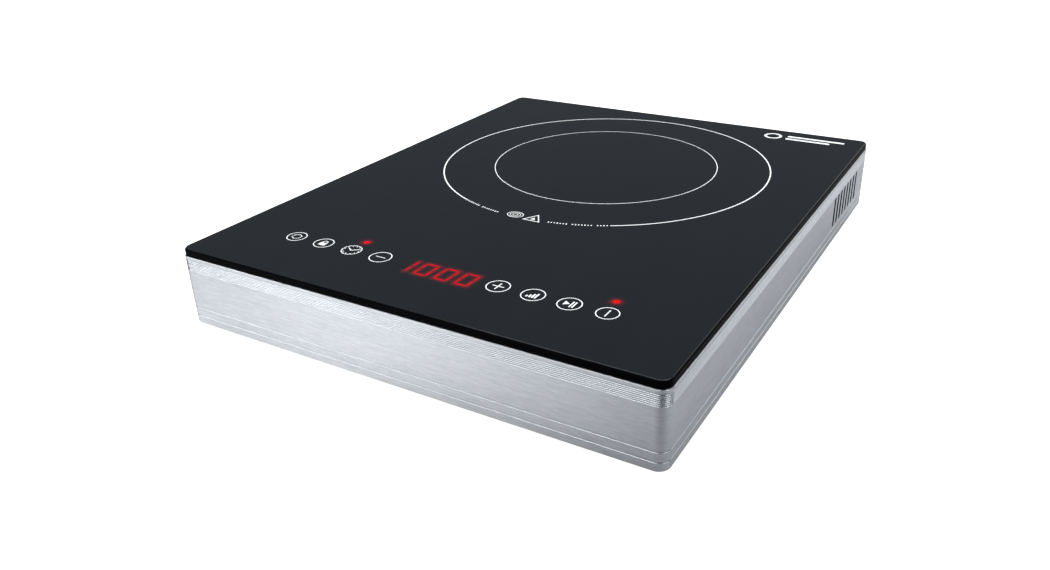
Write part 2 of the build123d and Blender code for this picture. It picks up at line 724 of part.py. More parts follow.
hub_bottom = motor_bottom + 1.3
hub_top = fan_top - 2.0
with BuildPart() as fan_rotor:
    posts([fan], hub_bottom, hub_top, hub_radius)
    fillet(fan_rotor.faces().sort_by(Axis.Z)[-1].edges(), 1.5)
    posts([fan], hub_bottom, hub_top - 1.5, hub_radius - 1.6, Mode.SUBTRACT)
    posts([fan], bearing_top + 1.0, hub_top - 1.4, 3.5)
    blade_middle = (hub_bottom + hub_top) / 2
    for blade in range(blade_count):
        heading = 2 * pi * blade / blade_count
        outward = (cos(heading), sin(heading), 0)
        # Root and tip sections stand square to the radius; the blade flattens towards its tip.
        for radius, chord, tilt in ((hub_radius - 0.8, 13.5, 48), (blade_tip_radius, 17.0, 32)):
            section_plane = Plane(
                origin=(fan[0] + radius * outward[0], fan[1] + radius * outward[1], blade_middle),
                x_dir=(-outward[1], outward[0], 0),
                z_dir=outward,
            )
            with BuildSketch(section_plane):
                SlotOverall(chord, 1.2, rotation=tilt)
        loft()
    posts([fan], hub_bottom, hub_top - 1.5, shaft_radius + 0.02, Mode.SUBTRACT)
fan_rotor.part.label = "fan_rotor"
export_step(fan_rotor.part, "parts/fan_rotor.step")

with BuildPart() as fan_shaft:
    posts([fan], fan_bottom + 1.2, hub_top - 1.55, shaft_radius)
fan_shaft.part.label = "fan_shaft"
export_step(fan_shaft.part, "parts/fan_shaft.step")

with BuildPart() as fan_screws:
    pan_screws(fan_places, fan_top, tray_bottom + 0.8, m3)
fan_screws.part.label = "fan_screws"
export_step(fan_screws.part, "parts/fan_screws.step")

# A channel leads the air from the fan to the capacitors and the heatsink.
guide_middle = (-12.0, 98.0)
guide_size = (36.0, 84.0)
guide_wall = 1.5
with BuildPart() as air_guide:
    slab(36.0 - guide_wall, 36.0, guide_size, guide_middle, 1.0)
    for side in (-1, 1):
        wall_line = guide_middle[1] + side * (guide_size[1] - guide_wall) / 2
        slab(floor + 0.1, 36.0, (guide_size[0], guide_wall), (guide_middle[0], wall_line), 0.5)
        slab(floor + 0.1, floor + 2, (12, 8), (guide_middle[0], wall_line + side * 3.5), 1.0)
air_guide.part.label = "air_guide"
export_step(air_guide.part, "parts/air_guide.step")

# ---------------------------------------------------------------- Controls

with BuildPart() as control_bracket:
    slab(36.0, 38.0, (control_board_size[0] + 8, control_board_size[1] + 4), control_middle, 4.0)
    with BuildSketch(Plane.XY.offset(36.0)):
        with Locations(control_middle):
            with GridLocations(50, 1, 4, 1):
                RectangleRounded(38, 24, 3)
    extrude(amount=2, mode=Mode.SUBTRACT)
    posts(control_places, 38, control_board_bottom, 4.0)
    posts(control_places, 35, control_top, m3[0] + hole_gap, Mode.SUBTRACT)
control_bracket.part.label = "control_bracket"
export_step(control_bracket.part, "parts/control_bracket.step")

with BuildPart() as control_board:
    slab(control_board_bottom, control_top, control_board_size, control_middle, 2.0)
    posts(control_places, control_board_bottom - 1, control_top + 1, m3[0] + 0.3, Mode.SUBTRACT)
control_board.part.label = "control_board"
export_step(control_board.part, "parts/control_board.step")

with BuildPart() as control_screws:
    pan_screws(control_places, control_top, 28, m3)
control_screws.part.label = "control_screws"
export_step(control_screws.part, "parts/control_screws.step")

with BuildPart() as display_module:
    slab(control_top, 49.6, display_size, display_middle, 0.5)
    # Light wells of the seven-segment digits
    digit_pitch = 12.7
    with BuildSketch(Plane.XY.offset(49.3)):
        with Locations(display_middle):
            with GridLocations(digit_pitch, 1, 4, 1):
                for level in (-6.3, 0, 6.3):
                    with Locations((level * 0.14, level)):
                        SlotOverall(5.4, 1.2)
                for side in (-3.4, 3.4):
                    for level in (-3.15, 3.15):
                        with Locations((side + level * 0.14, level)):
                            SlotOverall(5.0, 1.2, rotation=82)
    extrude(amount=1, mode=Mode.SUBTRACT)
display_module.part.label = "display_module"
export_step(display_module.part, "parts/display_module.step")

with BuildPart() as display_shade:
    frame_slab(
        control_top + 1,
        50.1,
        (display_size[0] + 5, display_size[1] + 5),
        (display_size[0] + 0.6, display_size[1] + 0.6),
        2.0,
        0.5,
        display_middle,
    )
display_shade.part.label = "display_shade"
export_step(display_shade.part, "parts/display_shade.step")

with BuildPart() as indicator_leds:
    posts(light_places, control_top, control_top + 1, 1.9)
    posts(light_places, control_top + 1, control_top + 5, 1.5)
    fillet(indicator_leds.faces().group_by(Axis.Z)[-1].edges(), 1.2)
indicator_leds.part.label = "indicator_leds"
export_step(indicator_leds.part, "parts/indicator_leds.step")

with BuildPart() as touch_springs:
    for place in key_places:
        coil_spring(place, control_top + 0.1, 50.1, 3.8, 0.35, 4)
touch_springs.part.label = "touch_springs"
export_step(touch_springs.part, "parts/touch_springs.step")

# The ribbon cable drops from the control board's back edge to the power board's front edge.
ribbon_x = 28.0
ribbon_route = [(-130.0, 39.9), (-108.0, 39.9), (-84.0, 19.2), (-50.0, 19.2)]
with BuildPart() as ribbon_cable:
    with BuildLine(Plane.YZ.offset(ribbon_x)):
        FilletPolyline(*ribbon_route, radius=8)
    with BuildSketch(Plane(origin=(ribbon_x, *ribbon_route[0]), x_dir=(1, 0, 0), z_dir=(0, 1, 0))):
        Rectangle(18, 0.9)
    sweep()
ribbon_cable.part.label = "ribbon_cable"
export_step(ribbon_cable.part, "parts/ribbon_cable.step")

with BuildPart() as ribbon_plugs:
    slab(control_board_bottom - 2.8, control_board_bottom, (22, 6), (ribbon_x, ribbon_route[0][0] - 3.1))
    slab(board_top, board_top + 5, (22, 6), (ribbon_x, ribbon_route[-1][0] + 3.1))
ribbon_plugs.part.label = "ribbon_plugs"
export_step(ribbon_plugs.part, "parts/ribbon_plugs.step")
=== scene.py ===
import json
import math

import bmesh
import bpy
from mathutils import Matrix, Vector


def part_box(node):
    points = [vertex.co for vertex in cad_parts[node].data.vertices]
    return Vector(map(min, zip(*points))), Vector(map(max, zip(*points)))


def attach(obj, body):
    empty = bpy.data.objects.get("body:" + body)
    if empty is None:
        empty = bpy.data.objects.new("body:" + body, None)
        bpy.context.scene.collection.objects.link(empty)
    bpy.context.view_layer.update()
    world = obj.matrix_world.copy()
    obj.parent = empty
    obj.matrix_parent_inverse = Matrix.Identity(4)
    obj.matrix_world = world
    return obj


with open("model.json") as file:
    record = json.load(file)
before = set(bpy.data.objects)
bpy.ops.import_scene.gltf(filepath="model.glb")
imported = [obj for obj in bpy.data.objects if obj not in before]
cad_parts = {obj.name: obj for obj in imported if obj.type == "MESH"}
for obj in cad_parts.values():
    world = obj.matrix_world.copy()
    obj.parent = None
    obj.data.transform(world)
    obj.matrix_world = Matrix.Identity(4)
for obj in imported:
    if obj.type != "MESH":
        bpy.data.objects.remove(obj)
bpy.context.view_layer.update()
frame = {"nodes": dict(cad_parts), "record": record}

MM = 0.001
glass_low, glass_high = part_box("glass_top")
band_low, band_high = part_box("side_band")
display_low, display_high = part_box("display_module")
lights_low, lights_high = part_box("indicator_leds")
springs_low, springs_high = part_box("touch_springs")
sheet_low, sheet_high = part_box("mica_sheet")
glass_face = glass_high.z
zone_centre = ((sheet_low.x + sheet_high.x) / 2, (sheet_low.y + sheet_high.y) / 2)
display_centre = ((display_low.x + display_high.x) / 2, (display_low.y + display_high.y) / 2)

# ---------------------------------------------------------------- Camera

EYE = Vector((0.25725, -0.46589, 0.25062))
HEADING = 30.883      # degrees that the view turns from +Y towards -X
DOWNWARD = 25.625     # degrees below the horizon
ROLL = -1.385         # degrees, anticlockwise about the line of sight
SENSOR = 36.0         # millimetres
LENS = 30.734         # millimetres
SHIFT = (-0.01513, -0.01188)


def make_camera():
    """The camera at the photograph's viewing angle."""
    data = bpy.data.cameras.new("camera")
    data.sensor_width = SENSOR
    data.lens = LENS
    data.shift_x, data.shift_y = SHIFT
    data.clip_start = 0.01
    data.clip_end = 50.0
    camera = bpy.data.objects.new("camera", data)
    bpy.context.scene.collection.objects.link(camera)
    heading, downward = math.radians(HEADING), math.radians(DOWNWARD)
    view = Vector(
        (
            -math.sin(heading) * math.cos(downward),
            math.cos(heading) * math.cos(downward),
            -math.sin(downward),
        )
    )
    turn = view.to_track_quat("-Z", "Y").to_matrix()
    camera.matrix_world = (
        Matrix.Translation(EYE) @ turn.to_4x4() @ Matrix.Rotation(math.radians(ROLL), 4, "Z")
    )
    bpy.context.scene.camera = camera


make_camera()

# ---------------------------------------------------------------- Node materials


class Paint:
    """A node material with one Principled shader, and short calls for the nodes that feed it."""

    def __init__(self, name):
        self.material = bpy.data.materials.new(name)
        self.material.use_nodes = True
        self.nodes = self.material.node_tree.nodes
        self.links = self.material.node_tree.links
        self.shader = self.nodes["Principled BSDF"]
        self.place = self.nodes.new("ShaderNodeTexCoord").outputs["Object"]

    def put(self, value, socket):
        """A link where the value is a node's output, and otherwise a plain setting."""
        if isinstance(value, bpy.types.NodeSocket):
            self.links.new(value, socket)
        else:
            socket.default_value = value

    def set(self, **values):
        """Principled settings by name, with underscores for spaces."""
        for name, value in values.items():
            self.put(value, self.shader.inputs[name.replace("_", " ")])

    def math(self, operation, a, b=0.0, c=0.0, clamp=False):
        node = self.nodes.new("ShaderNodeMath")
        node.operation = operation
        node.use_clamp = clamp
        for value, socket in zip((a, b, c), node.inputs):
            self.put(value, socket)
        return node.outputs[0]

    def stretched(self, scale):
        """Object coordinates in metres, scaled along each axis."""
        node = self.nodes.new("ShaderNodeMapping")
        self.put(self.place, node.inputs["Vector"])
        node.inputs["Scale"].default_value = scale
        return node.outputs[0]

    def joined(self, x, y, z):
        node = self.nodes.new("ShaderNodeCombineXYZ")
        for value, socket in zip((x, y, z), node.inputs):
            self.put(value, socket)
        return node.outputs[0]

    def split(self, vector=None):
        node = self.nodes.new("ShaderNodeSeparateXYZ")
        self.put(self.place if vector is None else vector, node.inputs[0])
        return node.outputs

    def noise(self, scale, detail=4.0, rough=0.55, vector=None):
        node = self.nodes.new("ShaderNodeTexNoise")
        self.put(self.place if vector is None else vector, node.inputs["Vector"])
        node.inputs["Scale"].default_value = scale
        node.inputs["Detail"].default_value = detail
        node.inputs["Roughness"].default_value = rough
        return node.outputs["Fac"]

    def spread(self, value, low, high, start=0.0, end=1.0):
        """A value moved from one range to another, held at its ends."""
        node = self.nodes.new("ShaderNodeMapRange")
        for given, socket in zip((value, start, end, low, high), node.inputs):
            self.put(given, socket)
        return node.outputs["Result"]

    def blend(self, share, first, second):
        """A mix of two colours, each a tuple or a node's output."""
        node = self.nodes.new("ShaderNodeMix")
        node.data_type = "RGBA"
        self.put(share, node.inputs[0])
        for value, socket in ((first, node.inputs[6]), (second, node.inputs[7])):
            self.put(value if isinstance(value, bpy.types.NodeSocket) else (*value, 1.0), socket)
        return node.outputs[2]

    def edges(self, radius):
        """0 on flat stretches, rising to 1 on outside and inside edges."""
        dot = self.nodes.new("ShaderNodeVectorMath")
        dot.operation = "DOT_PRODUCT"
        self.links.new(self.soft_edges(radius), dot.inputs[0])
        self.links.new(self.nodes.new("ShaderNodeNewGeometry").outputs["Normal"], dot.inputs[1])
        return self.spread(dot.outputs["Value"], 1.0, 0.0, 0.6, 0.995)

    def soft_edges(self, radius):
        """A normal that rounds sharp edges."""
        bevel = self.nodes.new("ShaderNodeBevel")
        bevel.samples = 6
        bevel.inputs["Radius"].default_value = radius
        return bevel.outputs[0]

    def bump(self, height, strength, distance, normal=None):
        node = self.nodes.new("ShaderNodeBump")
        node.inputs["Strength"].default_value = strength
        node.inputs["Distance"].default_value = distance
        self.put(height, node.inputs["Height"])
        if normal is not None:
            self.put(normal, node.inputs["Normal"])
        self.links.new(node.outputs[0], self.shader.inputs["Normal"])


def level(colour, factor):
    """The colour made darker or lighter."""
    return tuple(min(1.0, c * factor) for c in colour)


def plastic(name, colour, rough, grain, depth=0.00004, wear=0.5, edge=0.0004):
    """Moulded plastic or rubber: a fine sparked texture, patchy gloss and slightly rubbed edges.  The depth
    of the texture and the radius of the edges are in metres."""
    paint = Paint(name)
    cloudy = paint.noise(22.0, 3.0)
    fine = paint.noise(grain, 3.0, 0.6)
    rubbed = paint.math("MULTIPLY", paint.edges(edge), wear)
    body = paint.blend(cloudy, level(colour, 0.82), level(colour, 1.18))
    paint.set(Base_Color=paint.blend(rubbed, body, level(colour, 1.9)))
    gloss = paint.spread(cloudy, rough - 0.05, rough + 0.06, 0.3, 0.7)
    paint.set(Roughness=paint.math("SUBTRACT", gloss, paint.math("MULTIPLY", rubbed, 0.12)))
    paint.bump(fine, 0.35, depth, paint.soft_edges(edge))
    return paint.material


def metal(name, colour, rough, streaks, depth=0.00001, edge=0.0003):
    """Bare metal: streaks along one axis, uneven polish and bright edges.  The depth of the streaks and the
    radius of the edges are in metres."""
    paint = Paint(name)
    grain = paint.noise(1.0, 4.0, 0.6, paint.stretched(streaks))
    cloudy = paint.noise(30.0, 3.0)
    body = paint.blend(grain, level(colour, 0.86), level(colour, 1.1))
    paint.set(Metallic=1.0, Base_Color=paint.blend(paint.edges(edge), body, level(colour, 1.3)))
    polish = paint.spread(cloudy, rough - 0.06, rough + 0.08, 0.3, 0.7)
    paint.set(Roughness=paint.math("ADD", polish, paint.spread(grain, -0.04, 0.05)))
    paint.bump(grain, 0.3, depth, paint.soft_edges(edge))
    return paint.material


# The grain of the band: how often it changes along and across the brushing, per metre, and its detail
BAND_GRAINS = ((160.0, 2800.0, 2.0), (60.0, 1300.0, 3.0), (16.0, 480.0, 2.0))
# The cut faces of the vent slots, which are painted dark as painted shade: how far in from the outside they
# start, their middle above the lower edge of the band, half their height, and the front and back ends of the
# row
CUT_DEPTH = 0.06 * MM
CUT_MIDDLE = 21.9 * MM
CUT_HALF = 10.4 * MM
CUT_FRONT = 80.0 * MM
CUT_BACK = 155.0 * MM


def brushed_band(name):
    """Anodised aluminium with a fine brushed grain that runs round the four sides.  The cut faces of the vent
    slots are rougher, and painted near-black as painted shade."""
    paint = Paint(name)
    x, y, z = paint.split()
    along = paint.math("ADD", x, y)
    across = paint.math("SUBTRACT", x, y)
    grains = []
    for length, width, detail in BAND_GRAINS:
        where = paint.joined(
            paint.math("MULTIPLY", along, length),
            paint.math("MULTIPLY", across, length),
            paint.math("MULTIPLY", z, width),
        )
        grains.append(paint.spread(paint.noise(1.0, detail, 0.6, where), 0.0, 1.0, 0.28, 0.72))
    fine, broad, wide = grains
    grain = paint.math("ADD", paint.math("MULTIPLY", fine, 0.5), paint.math("MULTIPLY", broad, 0.5))
    cloudy = paint.noise(9.0, 2.0)
    tone = paint.math("ADD", paint.math("MULTIPLY", grain, 0.88), paint.math("MULTIPLY", wide, 0.12))
    bare = paint.blend(tone, (0.525, 0.555, 0.592), (0.815, 0.842, 0.88))
    edged = paint.blend(paint.edges(0.2 * MM), bare, (0.93, 0.94, 0.95))
    # Painted shade: the cut faces inside the vent slots are painted near-black and made rougher
    off = paint.math("ABSOLUTE", paint.math("SUBTRACT", z, band_low.z + CUT_MIDDLE))
    slot_shade = paint.math("LESS_THAN", off, CUT_HALF)
    for within in (
        paint.math("LESS_THAN", paint.math("ABSOLUTE", x), band_high.x - CUT_DEPTH),
        paint.math("GREATER_THAN", y, CUT_FRONT),
        paint.math("LESS_THAN", y, CUT_BACK),
    ):
        slot_shade = paint.math("MULTIPLY", slot_shade, within)
    paint.set(Base_Color=paint.blend(slot_shade, edged, (0.035, 0.04, 0.042)))
    rough = paint.math("ADD", paint.spread(grain, 0.27, 0.38), paint.spread(cloudy, -0.02, 0.02))
    paint.set(Metallic=1.0, Roughness=paint.math("ADD", rough, paint.math("MULTIPLY", slot_shade, 0.25)))
    paint.set(Anisotropic=0.6, Anisotropic_Rotation=0.25)
    tangent = paint.nodes.new("ShaderNodeTangent")
    tangent.direction_type = "RADIAL"
    tangent.axis = "Z"
    paint.set(Tangent=tangent.outputs[0])
    paint.bump(grain, 0.15, 0.03 * MM, paint.soft_edges(0.08 * MM))
    return paint.material


GLOW_RED = (1.0, 0.012, 0.016)
DIGIT_PITCH = 12.7 * MM
DIGIT_HALF = (3.65, 6.05)   # from a digit's middle to its side and end bars, in millimetres
SEGMENT_LEAN = 0.03         # sideways lean of the digits, per unit of height
LIGHT_INSET = 1.9 * MM      # from the edge of the pair's box to the middle of a light
light_spots = (
    (lights_low.x + LIGHT_INSET, lights_low.y + LIGHT_INSET),
    (lights_high.x - LIGHT_INSET, lights_high.y - LIGHT_INSET),
)


def black_glass(name):
    """Black ceramic glass: mirror gloss with faint wiping marks, painted shade that darkens its sides, and
    the painted red glow of the lit display and lights in its upper face, which also reddens its reflections."""
    paint = Paint(name)
    smear = paint.noise(1.0, 3.0, 0.5, paint.stretched((30.0, 9.0, 30.0)))
    speck = paint.noise(420.0, 2.0, 0.5)
    x, y, z = paint.split()
    normal = paint.nodes.new("ShaderNodeNewGeometry").outputs["Normal"]
    facing_up = paint.math("ABSOLUTE", paint.split(normal)[2])
    # Painted shade: the upright sides and the chamfer get a darker colour and a weaker reflection than the
    # top
    side = paint.spread(facing_up, 1.0, 0.0, 0.3, 0.98)
    face = paint.blend(smear, (0.0088, 0.0107, 0.0136), (0.0108, 0.0131, 0.0163))
    paint.set(Base_Color=paint.blend(side, face, (0.0012, 0.0014, 0.002)))
    gloss = paint.math("ADD", paint.spread(smear, 0.05, 0.10, 0.35, 0.7), paint.spread(speck, 0.0, 0.02))
    paint.set(Roughness=paint.math("ADD", gloss, paint.math("MULTIPLY", side, 0.1)), IOR=1.5)
    # Glow round the outline of each digit, then round each light
    rise = paint.math("SUBTRACT", y, display_centre[1])
    leaning = paint.math("SUBTRACT", x, paint.math("MULTIPLY", rise, SEGMENT_LEAN))
    along = paint.math("SUBTRACT", leaning, display_centre[0] - 1.5 * DIGIT_PITCH)
    in_digit = paint.math("WRAP", along, DIGIT_PITCH / 2, -DIGIT_PITCH / 2)
    off_x, off_y = [
        paint.math("SUBTRACT", paint.math("ABSOLUTE", value), half * MM)
        for value, half in zip((in_digit, rise), DIGIT_HALF)
    ]
    inside = paint.math("MINIMUM", paint.math("MAXIMUM", off_x, off_y), 0.0)
    outside = [paint.math("MAXIMUM", value, 0.0) for value in (off_x, off_y)]
    haze = falloff(paint, [inside, *outside], 1.7 * MM, 0.18)
    # The first digit has only its right side lit
    haze = paint.math("MULTIPLY", haze, paint.spread(along, 0.0, 1.0, 1.0 * MM, 3.0 * MM))
    haze = paint.math("MULTIPLY", haze, paint.math("LESS_THAN", along, 3.5 * DIGIT_PITCH))
    for spot in light_spots:
        off = [paint.math("SUBTRACT", value, middle) for value, middle in zip((x, y), spot)]
        haze = paint.math("ADD", haze, falloff(paint, off, 2.4 * MM, 0.36))
    top = paint.math("GREATER_THAN", z, glass_face - 0.3 * MM)
    # Painted glow: the reflections turn red where the haze of the display and lights lies
    glow_share = paint.math("MULTIPLY", haze, 3.0, clamp=True)
    glow_tint = paint.blend(glow_share, (1.0, 1.0, 1.0), (0.9, 0.25, 0.45))
    paint.set(Specular_Tint=paint.blend(side, glow_tint, (0.06, 0.07, 0.09)))
    paint.set(Emission_Color=(*GLOW_RED, 1.0), Emission_Strength=paint.math("MULTIPLY", haze, top))
    paint.bump(speck, 0.05, 0.004 * MM, paint.soft_edges(0.3 * MM))
    return paint.material


def falloff(paint, offsets, width, strength):
    """A strength that fades with the distance given by its offsets along each axis."""
    total = 0.0
    for value in offsets:
        total = paint.math("ADD", paint.math("MULTIPLY", value, value), total)
    ratio = paint.math("DIVIDE", total, -width * width)
    return paint.math("MULTIPLY", paint.math("EXPONENT", ratio), strength)


def printed(name, colour):
    """Fired enamel print: matt, with a slightly uneven density."""
    paint = Paint(name)
    grain = paint.noise(2600.0, 2.0)
    paint.set(Base_Color=paint.blend(grain, level(colour, 0.86), colour))
    paint.set(Roughness=paint.spread(grain, 0.42, 0.6))
    paint.bump(grain, 0.2, 0.004 * MM)
    return paint.material


def lit(name, colour, strength):
    """A lit light or display segment, a little uneven across its face."""
    paint = Paint(name)
    grain = paint.noise(500.0, 2.0)
    paint.set(Base_Color=paint.blend(grain, level(colour, 0.03), level(colour, 0.05)))
    paint.set(Roughness=0.35, Specular_IOR_Level=0.1)
    paint.set(Emission_Color=paint.blend(grain, level(colour, 0.85), colour), Emission_Strength=strength)
    return paint.material


def edge_shade_finish(name):
    """Painted shade for the edge of the glass: near-black, with almost no reflection."""
    paint = Paint(name)
    grain = paint.noise(1800.0, 3.0)
    paint.set(Base_Color=paint.blend(grain, (0.0012, 0.0013, 0.0018), (0.0022, 0.0024, 0.003)))
    paint.set(Roughness=paint.spread(grain, 0.3, 0.42), Specular_IOR_Level=0.012)
    paint.bump(grain, 0.2, 0.005 * MM)
    return paint.material


def circuit_board(name):
    """Green solder mask with a pattern of covered tracks."""
    paint = Paint(name)
    tracks = paint.nodes.new("ShaderNodeTexBrick")
    paint.put(paint.place, tracks.inputs["Vector"])
    tracks.inputs["Scale"].default_value = 140.0
    tracks.inputs["Mortar Size"].default_value = 0.05
    covered = tracks.outputs["Fac"]
    cloudy = paint.noise(60.0, 3.0)
    green = paint.blend(cloudy, (0.012, 0.09, 0.035), (0.018, 0.13, 0.05))
    paint.set(Base_Color=paint.blend(covered, green, (0.03, 0.2, 0.07)))
    paint.set(Roughness=paint.spread(cloudy, 0.3, 0.42))
    paint.bump(covered, 0.3, 0.03 * MM)
    return paint.material


STRANDS_ROUND = 300.0    # strands met in one turn round the coil
STRAND_CLIMB = 9000.0    # how they shift with height, in radians per metre


def litz(name):
    """Twisted copper strands under a clear varnish, with painted shade in the creases between them."""
    paint = Paint(name)
    x, y, z = paint.split()
    off_x = paint.math("SUBTRACT", x, zone_centre[0])
    off_y = paint.math("SUBTRACT", y, zone_centre[1])
    turn = paint.math("MULTIPLY", paint.math("ARCTAN2", off_y, off_x), STRANDS_ROUND)
    climb = paint.math("MULTIPLY", z, STRAND_CLIMB)
    strand = paint.math("SINE", paint.math("ADD", turn, climb))
    cloudy = paint.noise(80.0, 3.0)
    copper = paint.blend(cloudy, (0.42, 0.16, 0.06), (0.62, 0.26, 0.11))
    # Painted shade: the copper is darker in the creases between strands
    crease_shade = paint.spread(strand, 0.0, 0.6, -1.0, 1.0)
    paint.set(Base_Color=paint.blend(crease_shade, copper, (0.2, 0.07, 0.03)))
    paint.set(Metallic=0.85, Roughness=paint.spread(cloudy, 0.28, 0.4))
    paint.bump(strand, 0.5, 0.08 * MM)
    return paint.material


WIRE_PITCH = 1.27 * MM


def ribbon(name):
    """Flat cable: grey insulation with a ridge for each wire, and one red edge."""
    paint = Paint(name)
    x = paint.split()[0]
    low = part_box("ribbon_cable")[0]
    ridges = paint.math("ABSOLUTE", paint.math("SINE", paint.math("MULTIPLY", x, math.pi / WIRE_PITCH)))
    red_edge = paint.math("LESS_THAN", x, low.x + WIRE_PITCH)
    cloudy = paint.noise(120.0, 2.0)
    paint.set(Base_Color=paint.blend(red_edge, (0.42, 0.42, 0.43), (0.45, 0.03, 0.03)))
    paint.set(Roughness=paint.spread(cloudy, 0.4, 0.5))
    paint.bump(ridges, 0.6, 0.3 * MM)
    return paint.material


# Colour, roughness and grain per metre, then the grain's depth and the wear of the edges where they aren't
# the usual ones
PLASTICS = {
    "black_silicone": ((0.012, 0.012, 0.012), 0.55, 700.0),
    "black_plastic": ((0.018, 0.018, 0.019), 0.46, 1400.0, 0.00006, 0.35),
    "foot_rubber": ((0.022, 0.022, 0.022), 0.7, 800.0, 0.0001, 0.5),
    "white_nylon": ((0.72, 0.71, 0.66), 0.42, 600.0, 0.00003, 0.1),
    "carrier_plastic": ((0.05, 0.05, 0.055), 0.5, 1000.0),
    "ferrite": ((0.03, 0.03, 0.033), 0.38, 1800.0, 0.00008, 0.8),
    "mica": ((0.6, 0.56, 0.46), 0.3, 260.0, 0.00005, 0.1),
    "white_silicone": ((0.74, 0.74, 0.72), 0.55, 500.0, 0.00003, 0.0),
    "black_epoxy": ((0.015, 0.015, 0.016), 0.38, 1600.0, 0.00004, 0.3),
    "film_capacitor": ((0.62, 0.42, 0.05), 0.3, 300.0, 0.00002, 0.2),
    "capacitor_sleeve": ((0.02, 0.035, 0.11), 0.28, 200.0, 0.00002, 0.3),
    "transformer_tape": ((0.68, 0.5, 0.06), 0.3, 400.0, 0.00002, 0.2),
    "fuse_ceramic": ((0.74, 0.73, 0.68), 0.3, 500.0, 0.00001, 0.1),
    "display_face": ((0.05, 0.008, 0.008), 0.25, 300.0, 0.00001, 0.2),
    "red_lens": ((0.4, 0.012, 0.012), 0.18, 200.0, 0.00001, 0.0),
}
# Colour, roughness and streaks per metre along each axis, then the streaks' depth where it isn't the
# usual one
METALS = {
    "plain_aluminium": ((0.62, 0.63, 0.64), 0.34, (90.0, 90.0, 3000.0)),
    "zinc_steel": ((0.6, 0.6, 0.57), 0.3, (1200.0, 1200.0, 1200.0)),
    "black_anodised": ((0.03, 0.03, 0.032), 0.42, (90.0, 90.0, 3000.0)),
    "black_steel": ((0.05, 0.05, 0.052), 0.35, (1200.0, 1200.0, 1200.0)),
    "label_foil": ((0.62, 0.63, 0.64), 0.42, (40.0, 3000.0, 40.0), 0.000004),
    "spring_steel": ((0.55, 0.55, 0.56), 0.2, (900.0, 900.0, 900.0)),
    "copper_wire": ((0.62, 0.24, 0.09), 0.25, (700.0, 700.0, 700.0)),
    "terminal_brass": ((0.7, 0.5, 0.2), 0.28, (900.0, 900.0, 900.0)),
}
FINISHES = {
    "black_glass": black_glass("black_glass"),
    "brushed_aluminium": brushed_band("brushed_aluminium"),
    "litz_copper": litz("litz_copper"),
    "circuit_board": circuit_board("circuit_board"),
    "ribbon_grey": ribbon("ribbon_grey"),
    "print_white": printed("print_white", (0.93, 0.95, 0.97)),
    "lit_lamp": lit("lit_lamp", (1.0, 0.002, 0.004), 0.88),
    "lit_red": lit("lit_red", (1.0, 0.002, 0.008), 0.64),
    "edge_shade_finish": edge_shade_finish("edge_shade_finish"),
    **{name: plastic(name, *values) for name, values in PLASTICS.items()},
    **{name: metal(name, *values) for name, values in METALS.items()},
}


def dress_cad_nodes():
    """Each CAD node gets the node material of its slot in the record."""
    for row in frame["record"]["subparts"]:
        node = frame["nodes"][row["node"]]
        node.data.materials.clear()
        node.data.materials.append(FINISHES[row["material_slot"]])


dress_cad_nodes()

# ---------------------------------------------------------------- Added pieces


def make_object(name, mesh, look):
    """An object with one look, from a finished bmesh."""
    data = bpy.data.meshes.new(name)
    mesh.to_mesh(data)
    mesh.free()
    data.materials.append(look)
    piece = bpy.data.objects.new(name, data)
    bpy.context.scene.collection.objects.link(piece)
    return piece


PRINT_RISE = 0.03 * MM     # the enamel stands this far above the glass
PRINT_DEPTH = 0.02 * MM    # and is sunk this far into it


class Print:
    """Thin enamel shapes on the glass, gathered into one piece."""

    def __init__(self, name, slot, rise=PRINT_RISE, look=None):
        self.name = name
        self.slot = slot
        self.look = look or slot
        self.mesh = bmesh.new()
        self.levels = (glass_face - PRINT_DEPTH, glass_face + rise)

    def ring_of(self, points):
        return [[self.mesh.verts.new((x, y, z)) for x, y in points] for z in self.levels]

    def plate(self, points):
        """A filled outline; its points run anticlockwise."""
        low, high = self.ring_of(points)
        self.mesh.faces.new(high)
        self.mesh.faces.new(list(reversed(low)))
        for n in range(len(points)):
            m = (n + 1) % len(points)
            self.mesh.faces.new((low[n], low[m], high[m], high[n]))

    def stroke(self, points, width, closed=False):
        """A line of even width through the points."""
        left, right = [], []
        count = len(points)
        for n, point in enumerate(points):
            here = Vector(point)
            before = Vector(points[n - 1]) if closed or n > 0 else None
            after = Vector(points[(n + 1) % count]) if closed or n < count - 1 else None
            ways = []
            if before is not None:
                ways.append((here - before).normalized())
            if after is not None:
                ways.append((after - here).normalized())
            sides = [Vector((-way.y, way.x)) for way in ways]
            side = sum(sides, Vector((0.0, 0.0))).normalized()
            reach = width / 2 / max(0.4, side.dot(sides[0]))
            left.append(here + side * reach)
            right.append(here - side * reach)
        if not closed:
            self.plate([tuple(p) for p in right] + [tuple(p) for p in reversed(left)])
            return
        left_low, left_high = self.ring_of(left)
        right_low, right_high = self.ring_of(right)
        for n in range(count):
            m = (n + 1) % count
            self.mesh.faces.new((right_high[n], right_high[m], left_high[m], left_high[n]))
            self.mesh.faces.new((left_low[n], left_low[m], right_low[m], right_low[n]))
            self.mesh.faces.new((left_high[n], left_high[m], left_low[m], left_low[n]))
            self.mesh.faces.new((right_low[n], right_low[m], right_high[m], right_high[n]))

    def finish(self):
        bmesh.ops.recalc_face_normals(self.mesh, faces=self.mesh.faces)
        piece = make_object(self.name, self.mesh, FINISHES[self.look])
        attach(piece, "housing")


